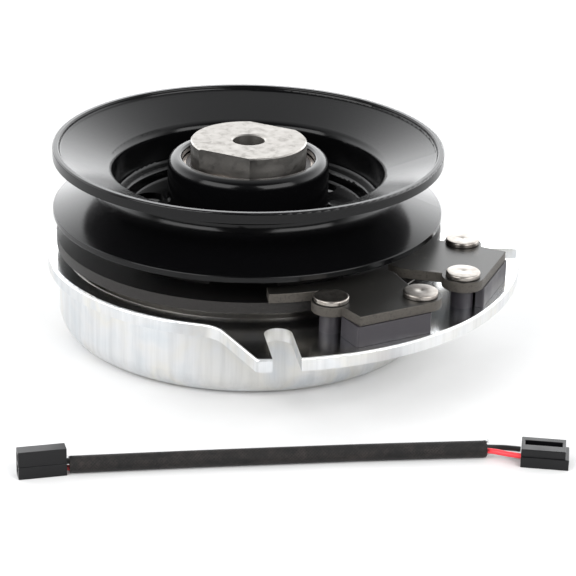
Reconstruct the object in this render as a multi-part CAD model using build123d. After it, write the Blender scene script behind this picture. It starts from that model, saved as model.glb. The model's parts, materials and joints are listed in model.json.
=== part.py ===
from build123d import *
import math
import os

# Electric PTO clutch and brake for a mower deck, in millimetres.
# Z is the shaft axis, z = 0 is the face the clutch stands on, the brake lobe points towards the front right.
os.makedirs("parts", exist_ok=True)

# Shaft and hub, which the bearings, the cup and the well are built round.
shaft_r = 12.7
hub_wall = 4.8
key_width = 6.35
key_depth = 2.8
key_length = 40.0
collar_step = 2.5
hub_short = 0.1
spigot_step = 0.7

# Bearings: section is outer minus bore radius, width is along the shaft.
pulley_bearing_section = 8.5
pulley_bearing_w = 20.0
pulley_ball_r = 3.0
pulley_row_offset = 4.6
field_bearing_section = 10.0
field_bearing_w = 10.0
field_ball_r = 3.3
ball_count = 14
ball_play = 0.05
ring_t = 2.6
seal_t = 0.8
seal_play = 0.25
seal_inset = 0.3
retainer_t = 1.3
retainer_bite = 1.0
retainer_reach = 1.6
retainer_half_gap = 6.0

# Field shell: a drawn cup whose rim carries the flange with the brake lobe.
shell_r = 71.0
shell_height = 30.2
shell_wall = 4.4
plate_t = 4.8
shell_corner = 8.5
rim_width = 4.3
flange_edge_round = 0.9
mouth_round = 2.4
lobe_reach = 32.0
lobe_axis = -40.4
shoulder_half_angle = 46.2
shoulder_slope = 21.5
shoulder_blend = 12.0
shoulder_tip_round = 1.5
slot_half_angle = 40.4
slot_width = 10.0
slot_land = 6.0

# Coil and field core.
core_wall = 6.0
core_height = 24.0
core_shoulder = 2.5
bearing_seat_z = 1.6
potting_t = 4.2
potting_play = 0.05
bobbin_height = 15.6
bobbin_wall = 1.4
inner_coil_play = 1.2
outer_coil_play = 1.8
winding_gap = 1.0

# Rotor.
rotor_play = 1.0
rotor_disc_t = 6.0
rotor_wall = 4.2
rotor_wall_foot_z = 12.0
pole_play = 0.9
inner_pole_t = 3.8
rotor_edge_round = 0.8
rotor_inner_round = 1.2
lining_land = 4.4
lining_width = 7.0
lining_t = 3.0
flux_slot_width = 3.0
flux_slot_count = 6
flux_slot_sweep = 46.0

# Armature and its leaf springs.
armature_overhang = 0.8
armature_t = 4.15
air_gap = 0.4
brake_touch = 0.05
armature_slot_inset = 15.8
spring_gap = 4.65
spring_t = 0.8
spring_width = 10.0
spring_bend = 0.4
spring_count = 3
spring_rivet_angle = 10.0
armature_rivet_angle = 43.6
armature_rivet_step = 4.0
access_hole_r = 5.6
access_hole_land = 1.6
small_shank_r = 2.4
small_head_r = 4.3
small_head_t = 1.75
small_head_round = 0.7
small_head_land = 0.5
small_tail_t = 1.35
rivet_room = 1.0
armature_land = 5.0
rivet_hole_play = 0.15
rivet_recess = 0.3

# Brake: pole plates over the armature's edge, on spacers and magnets, riveted to the lobe.
pole_plate_t = 3.7
pole_gap = 7.6
pole_overlap = 5.3
pole_tongue_reach = 1.2
pole_start_angle = 1.8
pole_end_angle = 42.2
ear_rivet_reach = 10.5
ear_rivet_angle = 27.3
ear_r = 7.0
front_rivet_inset = 9.6
front_rivet_angle = 7.6
front_ear_r = 7.6
front_edge_angle = 20.0
pole_corner_angle = 25.1
rivet_head_r = 6.2
rivet_head_t = 1.9
rivet_shank_r = 3.1
rivet_tail_r = 5.2
rivet_tail_t = 1.5
rivet_edge_round = 0.6
spacer_r = 4.0
spacer_play = 0.9
magnet_length = 30.0
magnet_depth = 12.0
magnet_overhang = 0.5
magnet_round = 0.8

# Belt pulley: one spun sheet (rim, cone, wall, ledge, web), a lower flange and a drawn bearing cup.
pulley_r = 73.0
rim_drop = 23.8  # from the upper rim's top to the lower rim's top edge
lower_rim_rise = 4.4  # from the rivet heads to the lower rim's top edge
upper_sheet_t = 2.6
lower_sheet_t = 2.4
lip_width = 2.6
lip_height = 3.9
lip_rise = 1.7
lip_round = 0.7
lip_crest = 0.3
cone_angle = 20.0
throat_bend = 3.4
ledge_rise = 4.7
ledge_width = 6.8
ledge_draft = 0.8
lower_cone_rise = 7.2
collar_height = 6.0
root_t = 0.6
root_height = 4.1
root_bend = 6.0
cup_wall = 4.2
cup_foot = 1.7
cup_lip = 1.1
cup_lip_t = 2.5
cup_bend = 3.4
bearing_play = 0.5

# Spacer bushing on top of the hub.
bushing_play = 3.25
bushing_t = 9.1
bushing_flat_cut = 2.78
bushing_flat_angle = 63.1
bolt_hole_r = 6.0
spigot_clearance = 0.05
spigot_length = 6.0
bushing_chamfer = 0.45

# Supply socket on the shell's far side.
socket_width = 22.0
socket_height = 13.0
socket_drop = 3.4
socket_reach = 15.0
socket_floor = 3.0
socket_wall = 2.0
blade_spacing = 8.4
blade_height = 6.3
blade_t = 0.8
blade_length = 9.5
blade_root = 2.0

# Loose adapter lead: it lies on the standing face in front of the clutch, two wires through a woven sleeve.
sleeve_r = 2.9
sleeve_bore_r = 2.1
wire_r = 0.95
sleeve_route = [
    (-54.8, -130.4, sleeve_r),
    (-20.0, -124.9, sleeve_r),
    (15.0, -119.9, sleeve_r),
    (50.0, -115.0, sleeve_r),
    (84.6, -111.0, sleeve_r),
]
red_route = [
    (-56.1, -130.45, 1.7),
    (-28.0, -126.54, 1.76),
    (0.0, -122.75, 1.93),
    (28.0, -119.05, 2.19),
    (52.0, -115.89, 2.47),
    (68.0, -114.1, 2.69),
    (78.0, -112.96, 2.82),
    (84.5, -112.2, 2.9),
    (88.2, -113.0, 2.95),
    (92.2, -114.8, 3.0),
    (96.4, -115.9, 3.0),
]
black_route = [
    (-56.1, -130.48, 4.1),
    (-28.0, -125.8, 4.04),
    (0.0, -121.33, 3.87),
    (28.0, -117.11, 3.61),
    (52.0, -113.65, 3.33),
    (68.0, -111.74, 3.11),
    (78.0, -110.56, 3.0),
    (84.5, -109.85, 2.95),
    (88.4, -109.7, 2.95),
    (92.4, -109.9, 3.0),
    (96.5, -110.7, 3.0),
]
plug_length = 16.2
plug_wall = 1.2
left_plug_height = 9.7
left_plug_depth = 5.2
left_plug_step = 0.5
left_plug_ledge = 4.4
left_plug_angle = 15.0
right_plug_height = 6.6
right_plug_depth = 10.4
right_plug_angle = -6.5
latch_rise = 2.7
latch_step = 0.6
latch_end = 1.2
latch_rail = 2.6
latch_groove = 3.2
latch_depth = 3.0

# Radii that follow from the values above, from the shaft outwards.
hub_r = shaft_r + hub_wall
collar_r = hub_r + collar_step
spigot_r = shaft_r + spigot_step
pulley_bearing_r = hub_r + pulley_bearing_section
pulley_pitch_r = hub_r + pulley_bearing_section / 2
field_bearing_r = hub_r + field_bearing_section
field_pitch_r = hub_r + field_bearing_section / 2
core_shoulder_r = field_bearing_r - core_shoulder
core_outer_r = field_bearing_r + core_wall
cup_outer_r = pulley_bearing_r + cup_wall
cup_lip_r = pulley_bearing_r - cup_lip
bushing_r = cup_lip_r - bushing_play
spring_rivet_r = cup_outer_r + small_head_r + small_head_land
armature_rivet_r = spring_rivet_r + armature_rivet_step
armature_inner_r = spring_rivet_r - armature_land
ledge_inner_r = armature_rivet_r + access_hole_r + access_hole_land
groove_floor_r = ledge_inner_r + ledge_width
throat_r = groove_floor_r - upper_sheet_t
shell_inner_r = shell_r - shell_wall
rim_flange_r = shell_r + rim_width
lobe_r = shell_r + lobe_reach
slot_inner_r = shell_r + slot_land
rotor_r = shell_inner_r - rotor_play
lining_outer_r = rotor_r - rotor_wall - lining_land
lining_inner_r = lining_outer_r - lining_width
inner_pole_r = core_outer_r + pole_play
inner_pole_outer_r = inner_pole_r + inner_pole_t
flux_slot_r = (inner_pole_outer_r + lining_inner_r) / 2
bobbin_inner_r = inner_pole_outer_r + inner_coil_play
bobbin_outer_r = rotor_r - rotor_wall - outer_coil_play
armature_outer_r = shell_r + armature_overhang
armature_slot_r = armature_outer_r - armature_slot_inset
pole_inner_r = armature_outer_r - pole_overlap
pole_tongue_r = armature_outer_r + pole_tongue_reach
ear_rivet_r = armature_outer_r + ear_rivet_reach
front_rivet_r = lobe_r - front_rivet_inset
socket_end_y = shell_r + socket_reach
socket_back_y = shell_r + socket_floor

# Heights that follow, from the standing face upwards.
field_bearing_top_z = bearing_seat_z + field_bearing_w
bobbin_foot_z = plate_t + potting_t
flange_foot_z = shell_height - plate_t
socket_floor_z = flange_foot_z - socket_drop - socket_height
pole_plate_z = shell_height + pole_gap
rivet_top_z = pole_plate_z + pole_plate_t + rivet_head_t
armature_top_z = pole_plate_z - brake_touch
armature_foot_z = armature_top_z - armature_t
rotor_face_z = armature_foot_z - air_gap
web_bottom_z = armature_top_z + spring_gap
web_top_z = web_bottom_z + upper_sheet_t
ledge_top_z = web_top_z + ledge_rise
lower_rim_z = rivet_top_z + lower_rim_rise
rim_top_z = lower_rim_z + rim_drop
bearing_foot_z = web_bottom_z + cup_foot
bearing_top_z = bearing_foot_z + pulley_bearing_w
cup_top_z = bearing_top_z + bearing_play + cup_lip_t
field_row_z = bearing_seat_z + field_bearing_w / 2
pulley_middle_z = bearing_foot_z + pulley_bearing_w / 2
pulley_rows_z = [pulley_middle_z - pulley_row_offset, pulley_middle_z + pulley_row_offset]


def polar(radius, angle):
    """The x and y of a point at a radius and an angle in degrees."""
    return (radius * math.cos(math.radians(angle)), radius * math.sin(math.radians(angle)))


def turned(points, rounds=()):
    """A solid turned about Z from (radius, height) points; rounds are (point index, fillet radius)."""
    face = make_face(Polyline(*points, close=True))
    for index, radius in rounds:
        corner = face.vertices().sort_by_distance(Vector(*points[index], 0))[0]
        face = fillet(corner, radius)
    return revolve(Plane.XZ * face, Axis.Z)


def ring(inner_r, outer_r, low_z, high_z):
    """A plain ring between two radii and two heights."""
    face = Circle(outer_r) - Circle(inner_r)
    return extrude(Pos(0, 0, low_z) * face, high_z - low_z)


def post(x, y, radius, low_z, high_z):
    """An upright cylinder."""
    return extrude(Pos(x, y, low_z) * Circle(radius), high_z - low_z)


def block(x0, x1, y0, y1, z0, z1):
    """A box between two corners."""
    box = Box(x1 - x0, y1 - y0, z1 - z0)
    return Pos((x0 + x1) / 2, (y0 + y1) / 2, (z0 + z1) / 2) * box


def arc_slot(radius, width, sweep, centre_angle):
    """A flat curved slot with round ends."""
    start = centre_angle - sweep / 2
    inner = radius - width / 2
    outer = radius + width / 2
    corners = [polar(outer * 1.5, start), polar(outer * 2, centre_angle), polar(outer * 1.5, start + sweep)]
    wedge = make_face(Polyline((0, 0), *corners, close=True))
    slot = (Circle(outer) - Circle(inner)) & wedge
    for end in (start, start + sweep):
        slot += Pos(*polar(radius, end)) * Circle(width / 2)
    return slot


def save(name, shape):
    """Writes one node; a group of separate solids stays one node."""
    export_step(Compound(children=list(shape.solids()), label=name), f"parts/{name}.step")


# --- field shell


def shoulder_point(radius):
    """Where the lobe's slanting shoulder crosses a circle, with the lobe's axis along X."""
    tip = Vector(*polar(lobe_r, shoulder_half_angle))
    slope = Vector(*polar(1, shoulder_slope))
    along = tip.dot(slope)
    return tip - slope * (along - math.sqrt(along**2 - lobe_r**2 + radius**2))


def lobe_outline():
    """The flange from above: the round rim, the brake lobe with two slanting shoulders, and its slots."""
    root = shoulder_point(shell_r)
    tip = shoulder_point(lobe_r)
    far = tip * 2
    upper = [(root.X, root.Y), (tip.X, tip.Y), (far.X, far.Y)]
    lower = [(x, -y) for x, y in reversed(upper)]
    wedge = make_face(Polyline((0, 0), *upper, (4 * lobe_r, 0), *lower, close=True))
    outline = Circle(rim_flange_r) + (Circle(lobe_r) & wedge)
    for corner, radius in ((shoulder_point(rim_flange_r), shoulder_blend), (tip, shoulder_tip_round)):
        for side in (1, -1):
            place = Vector(corner.X, side * corner.Y, 0)
            outline = fillet(outline.vertices().sort_by_distance(place)[0], radius)
    slot = Rectangle(lobe_r, slot_width, align=(Align.MIN, Align.CENTER)) + Circle(slot_width / 2)
    slot = Pos(slot_inner_r + slot_width / 2, 0) * slot
    for side in (1, -1):
        outline -= Rot(0, 0, side * slot_half_angle) * slot
    return outline


def field_shell():
    """The drawn cup with its flange, lobe, anti-rotation slots and the openings for rivets and leads."""
    cup = turned(
        [
            (core_outer_r, 0),
            (shell_r, 0),
            (shell_r, shell_height),
            (shell_inner_r, shell_height),
            (shell_inner_r, plate_t),
            (core_outer_r, plate_t),
        ],
        [(1, shell_corner), (4, shell_corner - shell_wall)],
    )
    flange = extrude(Pos(0, 0, flange_foot_z) * Rot(0, 0, lobe_axis) * lobe_outline(), plate_t)
    flange -= post(0, 0, shell_r, flange_foot_z - 1, shell_height + 1)
    flange = fillet(outer_top_edges(flange), flange_edge_round)
    shell = cup + flange
    mouth = [
        e
        for e in shell.edges().filter_by(GeomType.CIRCLE)
        if abs(e.radius - shell_inner_r) < 0.01 and abs(e.center().Z - shell_height) < 0.01
    ]
    shell = fillet(mouth, mouth_round)
    for x, y in brake_rivet_places():
        shell -= post(x, y, rivet_shank_r, 0, shell_height + 1)
    lead_half = socket_width / 2 - 2 * socket_wall
    lead_low = socket_floor_z + 2 * socket_wall
    lead_high = socket_floor_z + socket_height - 2 * socket_wall
    shell -= block(-lead_half, lead_half, shell_inner_r - 2, shell_r + 1, lead_low, lead_high)
    return shell


def outer_top_edges(flange):
    """The edges round the outside of the flange's top face, slots left out."""
    chosen = []
    for e in flange.faces().sort_by(Axis.Z)[-1].edges():
        middle = e.position_at(0.5)
        reach = math.hypot(middle.X, middle.Y)
        in_slot = slot_inner_r - 1 < reach < lobe_r - 1 and near_a_slot(middle)
        if reach > shell_r + 1 and not in_slot:
            chosen.append(e)
    return chosen


def near_a_slot(place):
    """True inside the strips that the two anti-rotation slots cut from the lobe."""
    for side in (1, -1):
        angle = math.radians(lobe_axis + side * slot_half_angle)
        if abs(-place.X * math.sin(angle) + place.Y * math.cos(angle)) < slot_width / 2 + 0.1:
            return True
    return False


def field_core():
    """The steel sleeve pressed in the shell's floor: inner magnetic pole and seat of the field bearing."""
    groove_low = bearing_seat_z - retainer_t
    return turned(
        [
            (field_bearing_r, 0),
            (core_outer_r, 0),
            (core_outer_r, core_height),
            (core_shoulder_r, core_height),
            (core_shoulder_r, field_bearing_top_z),
            (field_bearing_r, field_bearing_top_z),
            (field_bearing_r, bearing_seat_z),
            (field_bearing_r + retainer_bite, bearing_seat_z),
            (field_bearing_r + retainer_bite, groove_low),
            (field_bearing_r, groove_low),
        ]
    )


def coil_bobbin():
    """The plastic spool, open outwards."""
    top = bobbin_foot_z + bobbin_height
    channel_r = bobbin_inner_r + bobbin_wall
    spool = ring(bobbin_inner_r, bobbin_outer_r, bobbin_foot_z, top)
    return spool - ring(channel_r, bobbin_outer_r + 1, bobbin_foot_z + bobbin_wall, top - bobbin_wall)


def coil_winding():
    """The wound copper, which fills the spool."""
    top = bobbin_foot_z + bobbin_height - bobbin_wall
    return ring(bobbin_inner_r + bobbin_wall, bobbin_outer_r - winding_gap, bobbin_foot_z + bobbin_wall, top)


def coil_potting():
    """The cast resin bed under the spool, shaped to the cup's inner corner."""
    inner_corner = shell_corner - shell_wall
    return turned(
        [
            (core_outer_r, plate_t),
            (shell_inner_r, plate_t),
            (shell_inner_r, bobbin_foot_z),
            (core_outer_r, bobbin_foot_z),
        ],
        [(1, inner_corner + potting_play)],
    )


# --- bearings


def field_bearing_ring(inner_r, outer_r):
    """One ring of the bearing between the field and the hub."""
    shape = ring(inner_r, outer_r, bearing_seat_z, field_bearing_top_z)
    return shape - Pos(0, 0, field_row_z) * Torus(field_pitch_r, field_ball_r + ball_play)


def pulley_bearing_ring(inner_r, outer_r):
    """One ring of the two-row bearing between the pulley and the hub."""
    shape = ring(inner_r, outer_r, bearing_foot_z, bearing_top_z)
    for row_z in pulley_rows_z:
        shape -= Pos(0, 0, row_z) * Torus(pulley_pitch_r, pulley_ball_r + ball_play)
    return shape


def ball_rows(rows, ball_r, pitch_r):
    """All balls of one bearing."""
    balls = []
    for row_z in rows:
        for index in range(ball_count):
            x, y = polar(pitch_r, index * 360 / ball_count)
            balls.append(Pos(x, y, row_z) * Sphere(ball_r))
    return Compound(children=balls)


def bearing_seals(inner_r, outer_r, foot_z, width):
    """The two rubber lip seals of one bearing, held by its outer ring."""
    low = foot_z + seal_inset
    high = foot_z + width - seal_inset
    seals = [ring(inner_r + seal_play, outer_r, low, low + seal_t)]
    seals.append(ring(inner_r + seal_play, outer_r, high - seal_t, high))
    return Compound(children=seals)


def retainer(inner_r, outer_r, top_z, gap_angle):
    """A split retaining ring under a bearing, with its gap at one angle."""
    start = polar(2 * outer_r, gap_angle - retainer_half_gap)
    end = polar(2 * outer_r, gap_angle + retainer_half_gap)
    gap = make_face(Polyline((0, 0), start, end, close=True))
    face = Circle(outer_r) - Circle(inner_r) - gap
    return extrude(Pos(0, 0, top_z - retainer_t) * face, retainer_t)


# --- brake


def brake_rivet_places():
    """The four rivets, in pairs that mirror each other about the lobe's axis."""
    places = []
    for side in (1, -1):
        places.append(polar(ear_rivet_r, lobe_axis + side * ear_rivet_angle))
        places.append(polar(front_rivet_r, lobe_axis + side * front_rivet_angle))
    return places


def pole_plate_outline():
    """One brake pole plate on the lobe's +Y side, with the lobe's axis along X."""
    ear = Vector(*polar(ear_rivet_r, ear_rivet_angle))
    front = Vector(*polar(front_rivet_r, front_rivet_angle))
    outward = Vector(*polar(1, front_edge_angle))
    tangent = front + outward * front_ear_r
    corner_r = tangent.dot(outward) / math.cos(math.radians(pole_corner_angle - front_edge_angle))
    outline = arc_band(pole_inner_r, pole_tongue_r, pole_start_angle, pole_end_angle)
    middle_r = (pole_inner_r + pole_tongue_r) / 2
    outline += make_face(
        Polyline(
            polar(pole_tongue_r, pole_start_angle),
            (front.X, front.Y),
            (tangent.X, tangent.Y),
            polar(corner_r, pole_corner_angle),
            (ear.X, ear.Y),
            polar(middle_r, ear_rivet_angle),
            polar(middle_r, pole_start_angle),
            close=True,
        )
    )
    outline += Pos(ear.X, ear.Y) * Circle(ear_r)
    outline += Pos(front.X, front.Y) * Circle(front_ear_r)
    for place in (ear, front):
        outline -= Pos(place.X, place.Y) * Circle(rivet_shank_r)
    return outline


def arc_band(inner_r, outer_r, start, end):
    """A flat piece of ring between two angles."""
    middle = (start + end) / 2
    far = 2 * outer_r
    wedge = make_face(Polyline((0, 0), polar(far, start), polar(far, middle), polar(far, end), close=True))
    return (Circle(outer_r) - Circle(inner_r)) & wedge


def brake_pole_plate(side):
    """One pole plate in place; side is 1 or -1."""
    plate = extrude(pole_plate_outline(), pole_plate_t)
    if side < 0:
        plate = mirror(plate, Plane.XZ)
    return Pos(0, 0, pole_plate_z) * Rot(0, 0, lobe_axis) * plate


def brake_magnet(side):
    """The magnet block between a pole plate and the lobe, notched round the front rivet's spacer."""
    front = Vector(*polar(front_rivet_r, front_rivet_angle))
    outward = Vector(*polar(1, front_edge_angle))
    across = Vector(*polar(1, front_edge_angle + 90))
    face = front.dot(outward) + front_ear_r + magnet_overhang
    start = front.dot(across)
    box = block(face - magnet_depth, face, start, start + magnet_length, 0, pole_gap)
    box = fillet(box.edges().filter_by(Axis.Z), magnet_round)
    magnet = Rot(0, 0, front_edge_angle) * box
    for radius, angle in ((front_rivet_r, front_rivet_angle), (ear_rivet_r, ear_rivet_angle)):
        magnet -= post(*polar(radius, angle), spacer_r + spacer_play, -1, pole_gap + 1)
    if side < 0:
        magnet = mirror(magnet, Plane.XZ)
    return Pos(0, 0, shell_height) * Rot(0, 0, lobe_axis) * magnet


def brake_spacers():
    """Four tubes between the lobe and the pole plates."""
    tubes = []
    for x, y in brake_rivet_places():
        tube = post(x, y, spacer_r, shell_height, pole_plate_z)
        tubes.append(tube - post(x, y, rivet_shank_r, shell_height - 1, pole_plate_z + 1))
    return Compound(children=tubes)


def brake_rivets():
    """Four rivets through plate, spacer and lobe."""
    head_low = pole_plate_z + pole_plate_t
    rivets = []
    for x, y in brake_rivet_places():
        rivet = turned(
            [
                (0, flange_foot_z - rivet_tail_t),
                (rivet_tail_r, flange_foot_z - rivet_tail_t),
                (rivet_tail_r, flange_foot_z),
                (rivet_shank_r, flange_foot_z),
                (rivet_shank_r, head_low),
                (rivet_head_r, head_low),
                (rivet_head_r, rivet_top_z),
                (0, rivet_top_z),
            ],
            [(1, rivet_edge_round), (6, rivet_edge_round)],
        )
        rivets.append(Pos(x, y, 0) * rivet)
    return Compound(children=rivets)


# --- supply socket


def supply_socket():
    """The moulded socket on the shell's far side, its stem through the wall."""
    half = socket_width / 2
    top = socket_floor_z + socket_height
    body = block(-half, half, shell_inner_r, socket_end_y, socket_floor_z, top)
    body -= post(0, 0, shell_r, 0, shell_height)
    inset = half - socket_wall
    low = socket_floor_z + socket_wall
    body -= block(-inset, inset, socket_back_y, socket_end_y + 1, low, top - socket_wall)
    stem_half = half - 2 * socket_wall
    stem_top = top - 2 * socket_wall
    stem = block(-stem_half, stem_half, shell_inner_r - 2, shell_r + 1, low + socket_wall, stem_top)
    body += stem - post(0, 0, shell_inner_r, 0, shell_height)
    for place in blade_places():
        body -= blade(place)
    return body


def blade_places():
    """The x of each contact blade."""
    return [-blade_spacing / 2, blade_spacing / 2]


def blade(x):
    """One flat contact blade, standing on edge."""
    middle = socket_floor_z + socket_height / 2
    start = socket_back_y - blade_root
    low = middle - blade_height / 2
    return block(x - blade_t / 2, x + blade_t / 2, start, start + blade_length, low, low + blade_height)


# --- rotor


def rotor():
    """The steel rotor: face disc with flux slots, outer wall and inner pole."""
    disc_low = rotor_face_z - rotor_disc_t
    shape = turned(
        [
            (collar_r, disc_low),
            (inner_pole_r, disc_low),
            (inner_pole_r, rotor_wall_foot_z),
            (inner_pole_outer_r, rotor_wall_foot_z),
            (inner_pole_outer_r, disc_low),
            (rotor_r - rotor_wall, disc_low),
            (rotor_r - rotor_wall, rotor_wall_foot_z),
            (rotor_r, rotor_wall_foot_z),
            (rotor_r, rotor_face_z),
            (collar_r, rotor_face_z),
        ],
        [(8, rotor_edge_round), (5, rotor_inner_round), (4, rotor_inner_round)],
    )
    shape -= ring(lining_inner_r, lining_outer_r, rotor_face_z - lining_t, rotor_face_z + 1)
    for index in range(flux_slot_count):
        slot = arc_slot(flux_slot_r, flux_slot_width, flux_slot_sweep, index * 360 / flux_slot_count)
        shape -= extrude(Pos(0, 0, disc_low - 1) * slot, rotor_disc_t + 2)
    return shape


def friction_lining():
    """The ring of friction material set in the rotor's face."""
    return ring(lining_inner_r, lining_outer_r, rotor_face_z - lining_t, rotor_face_z)


def rotor_hub():
    """The keyed hub: bearing seats above and below a collar that carries the rotor."""
    top = bearing_top_z - hub_short
    groove_r = hub_r - retainer_bite
    spigot_foot = bearing_top_z - spigot_length
    profile = [
        (shaft_r, 0),
        (groove_r, 0),
        (groove_r, bearing_seat_z),
        (hub_r, bearing_seat_z),
        (hub_r, field_bearing_top_z),
        (collar_r, field_bearing_top_z),
        (collar_r, bearing_foot_z),
        (hub_r, bearing_foot_z),
        (hub_r, top),
        (spigot_r, top),
        (spigot_r, spigot_foot),
        (shaft_r, spigot_foot),
    ]
    hub = turned(profile)
    key_top = shaft_r + key_depth
    return hub - block(0, key_top, -key_width / 2, key_width / 2, -1, key_length)


def spacer_bushing():
    """The bushing on top: a thick head with two flats, a bolt hole and a spigot in the hub's bore."""
    top = bearing_top_z + bushing_t
    bushing = turned(
        [
            (bolt_hole_r, bearing_top_z - spigot_length),
            (spigot_r - spigot_clearance, bearing_top_z - spigot_length),
            (spigot_r - spigot_clearance, bearing_top_z),
            (bushing_r, bearing_top_z),
            (bushing_r, top - bushing_chamfer),
            (bushing_r - bushing_chamfer, top),
            (bolt_hole_r + bushing_chamfer, top),
            (bolt_hole_r, top - bushing_chamfer),
        ]
    )
    cutter = block(bushing_r - bushing_flat_cut, bushing_r + 1, -bushing_r, bushing_r, bearing_top_z, top + 1)
    for turn in (0, 180):
        bushing -= Rot(0, 0, bushing_flat_angle + turn) * cutter
    return bushing


# --- pulley


def pulley_body():
    """The spun sheet: rim lip, upper cone, groove wall, ledge and web with its holes."""
    t = upper_sheet_t
    slope = math.tan(math.radians(cone_angle))
    cone_top_r = pulley_r - lip_width
    cone_top_z = rim_top_z - lip_rise
    bend_z = cone_top_z - (cone_top_r - throat_r) * slope
    under_rise = t / math.cos(math.radians(cone_angle))
    under_z = cone_top_z - (cone_top_r - groove_floor_r) * slope - under_rise
    edge_z = rim_top_z - lip_height
    edge_r = groove_floor_r + (edge_z - under_z) / slope
    sheet = turned(
        [
            (min(edge_r, pulley_r - lip_round), edge_z),
            (pulley_r, edge_z),
            (pulley_r, rim_top_z),
            (cone_top_r + lip_crest, rim_top_z),
            (cone_top_r, cone_top_z),
            (throat_r, bend_z),
            (throat_r, ledge_top_z),
            (ledge_inner_r, ledge_top_z),
            (ledge_inner_r - ledge_draft, web_top_z),
            (cup_outer_r, web_top_z),
            (cup_outer_r, web_bottom_z),
            (ledge_inner_r - ledge_draft + t, web_bottom_z),
            (ledge_inner_r + t, ledge_top_z - t),
            (groove_floor_r, ledge_top_z - t),
            (groove_floor_r, under_z),
        ],
        [
            (2, lip_round),
            (3, lip_round),
            (4, 1.2),
            (5, throat_bend),
            (6, 1.6),
            (7, 1.6),
            (8, 1.4),
            (11, 1.0),
            (13, 1.8),
            (14, 1.2),
        ],
    )
    for index in range(spring_count):
        turn = index * 360 / spring_count
        x, y = polar(armature_rivet_r, armature_rivet_angle + turn)
        sheet -= post(x, y, access_hole_r, web_bottom_z - 1, web_top_z + 1)
        x, y = polar(spring_rivet_r, spring_rivet_angle + turn)
        sheet -= post(x, y, small_shank_r, web_bottom_z - 1, web_top_z + 1)
    return sheet


def pulley_lower_flange():
    """The lower cone: a collar below and a thin root above, swept up into the groove's wall, grip the body."""
    t = lower_sheet_t
    root_r = groove_floor_r + root_t
    slope_run = pulley_r - groove_floor_r - t
    drop = t / math.cos(math.atan(lower_cone_rise / slope_run))
    gripping_r = groove_floor_r + t
    rise = lower_cone_rise
    inner_z = lower_rim_z + rise * (pulley_r - root_r) / slope_run
    foot_z = lower_rim_z + rise - collar_height
    return turned(
        [
            (groove_floor_r, foot_z),
            (gripping_r, foot_z),
            (gripping_r, lower_rim_z + rise - drop),
            (pulley_r, lower_rim_z - drop),
            (pulley_r, lower_rim_z),
            (root_r, inner_z),
            (root_r, inner_z + root_height),
            (groove_floor_r, inner_z + root_height),
        ],
        [(2, 1.0), (3, 0.5), (4, 0.5), (5, root_bend)],
    )


def bearing_cup():
    """The drawn cup in the pulley's web that holds the bearing under its rolled-in lip."""
    groove_low = bearing_foot_z - retainer_t
    seat_r = pulley_bearing_r
    return turned(
        [
            (seat_r, web_bottom_z),
            (cup_outer_r, web_bottom_z),
            (cup_outer_r, cup_top_z),
            (cup_lip_r, cup_top_z),
            (cup_lip_r, cup_top_z - cup_lip_t),
            (seat_r, cup_top_z - cup_lip_t),
            (seat_r, bearing_foot_z),
            (seat_r + retainer_bite, bearing_foot_z),
            (seat_r + retainer_bite, groove_low),
            (seat_r, groove_low),
        ],
        [(2, cup_bend), (3, 1.1)],
    )


# --- armature and springs


def armature_plate():
    """The flat steel ring that the coil pulls down and the brake magnets hold up."""
    plate = ring(armature_inner_r, armature_outer_r, armature_foot_z, armature_top_z)
    for index in range(spring_count):
        turn = index * 360 / spring_count
        slot = arc_slot(armature_slot_r, flux_slot_width, 2 * flux_slot_sweep, turn + 90)
        plate -= extrude(Pos(0, 0, armature_foot_z - 1) * slot, armature_t + 2)
        x, y = polar(armature_rivet_r, armature_rivet_angle + turn)
        plate -= post(x, y, small_shank_r, armature_foot_z - 1, armature_top_z + 1)
        x, y = polar(spring_rivet_r, spring_rivet_angle + turn)
        plate -= post(x, y, small_head_r + rivet_room, armature_foot_z - 1, armature_top_z + 1)
    return plate


def leaf_spring(turn):
    """One spring strip: a pad under the web, a slanting leg and a pad on the armature."""
    start = Vector(*polar(spring_rivet_r, spring_rivet_angle + turn))
    end = Vector(*polar(armature_rivet_r, armature_rivet_angle + turn))
    run = end - start
    length = run.length
    pad = spring_width / 2
    high = web_bottom_z
    low = armature_top_z + spring_t
    outline = [
        (-pad, high),
        (pad + spring_bend, high),
        (length - pad - spring_bend, low),
        (length + pad, low),
        (length + pad, low - spring_t),
        (length - pad - 2 * spring_bend, low - spring_t),
        (pad, high - spring_t),
        (-pad, high - spring_t),
    ]
    strip = extrude(Plane.XZ * make_face(Polyline(*outline, close=True)), spring_width / 2, both=True)
    angle = math.degrees(math.atan2(run.Y, run.X))
    strip = Pos(start.X, start.Y, 0) * Rot(0, 0, angle) * strip
    strip -= post(start.X, start.Y, small_shank_r, 0, rim_top_z)
    strip -= post(end.X, end.Y, small_shank_r + rivet_hole_play, 0, rim_top_z)
    return strip


def leaf_springs():
    """The three springs that turn the armature with the pulley and lift it to the brake."""
    return Compound(children=[leaf_spring(i * 360 / spring_count) for i in range(spring_count)])


def spring_rivets(radius, angle, levels, low_head):
    """Three small rivets; levels are the shank's foot and the head's seat."""
    foot, seat = levels
    rivets = []
    for index in range(spring_count):
        x, y = polar(radius, angle + index * 360 / spring_count)
        head = turned(
            [(0, seat), (small_head_r, seat), (small_head_r, seat + small_head_t), (0, seat + small_head_t)],
            [(2, small_head_round)],
        )
        rivet = Pos(x, y, 0) * head + post(x, y, small_shank_r, foot, seat)
        if low_head:
            rivet += post(x, y, small_head_r, foot - small_tail_t, foot)
        rivets.append(rivet)
    return Compound(children=rivets)


# --- adapter lead


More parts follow.
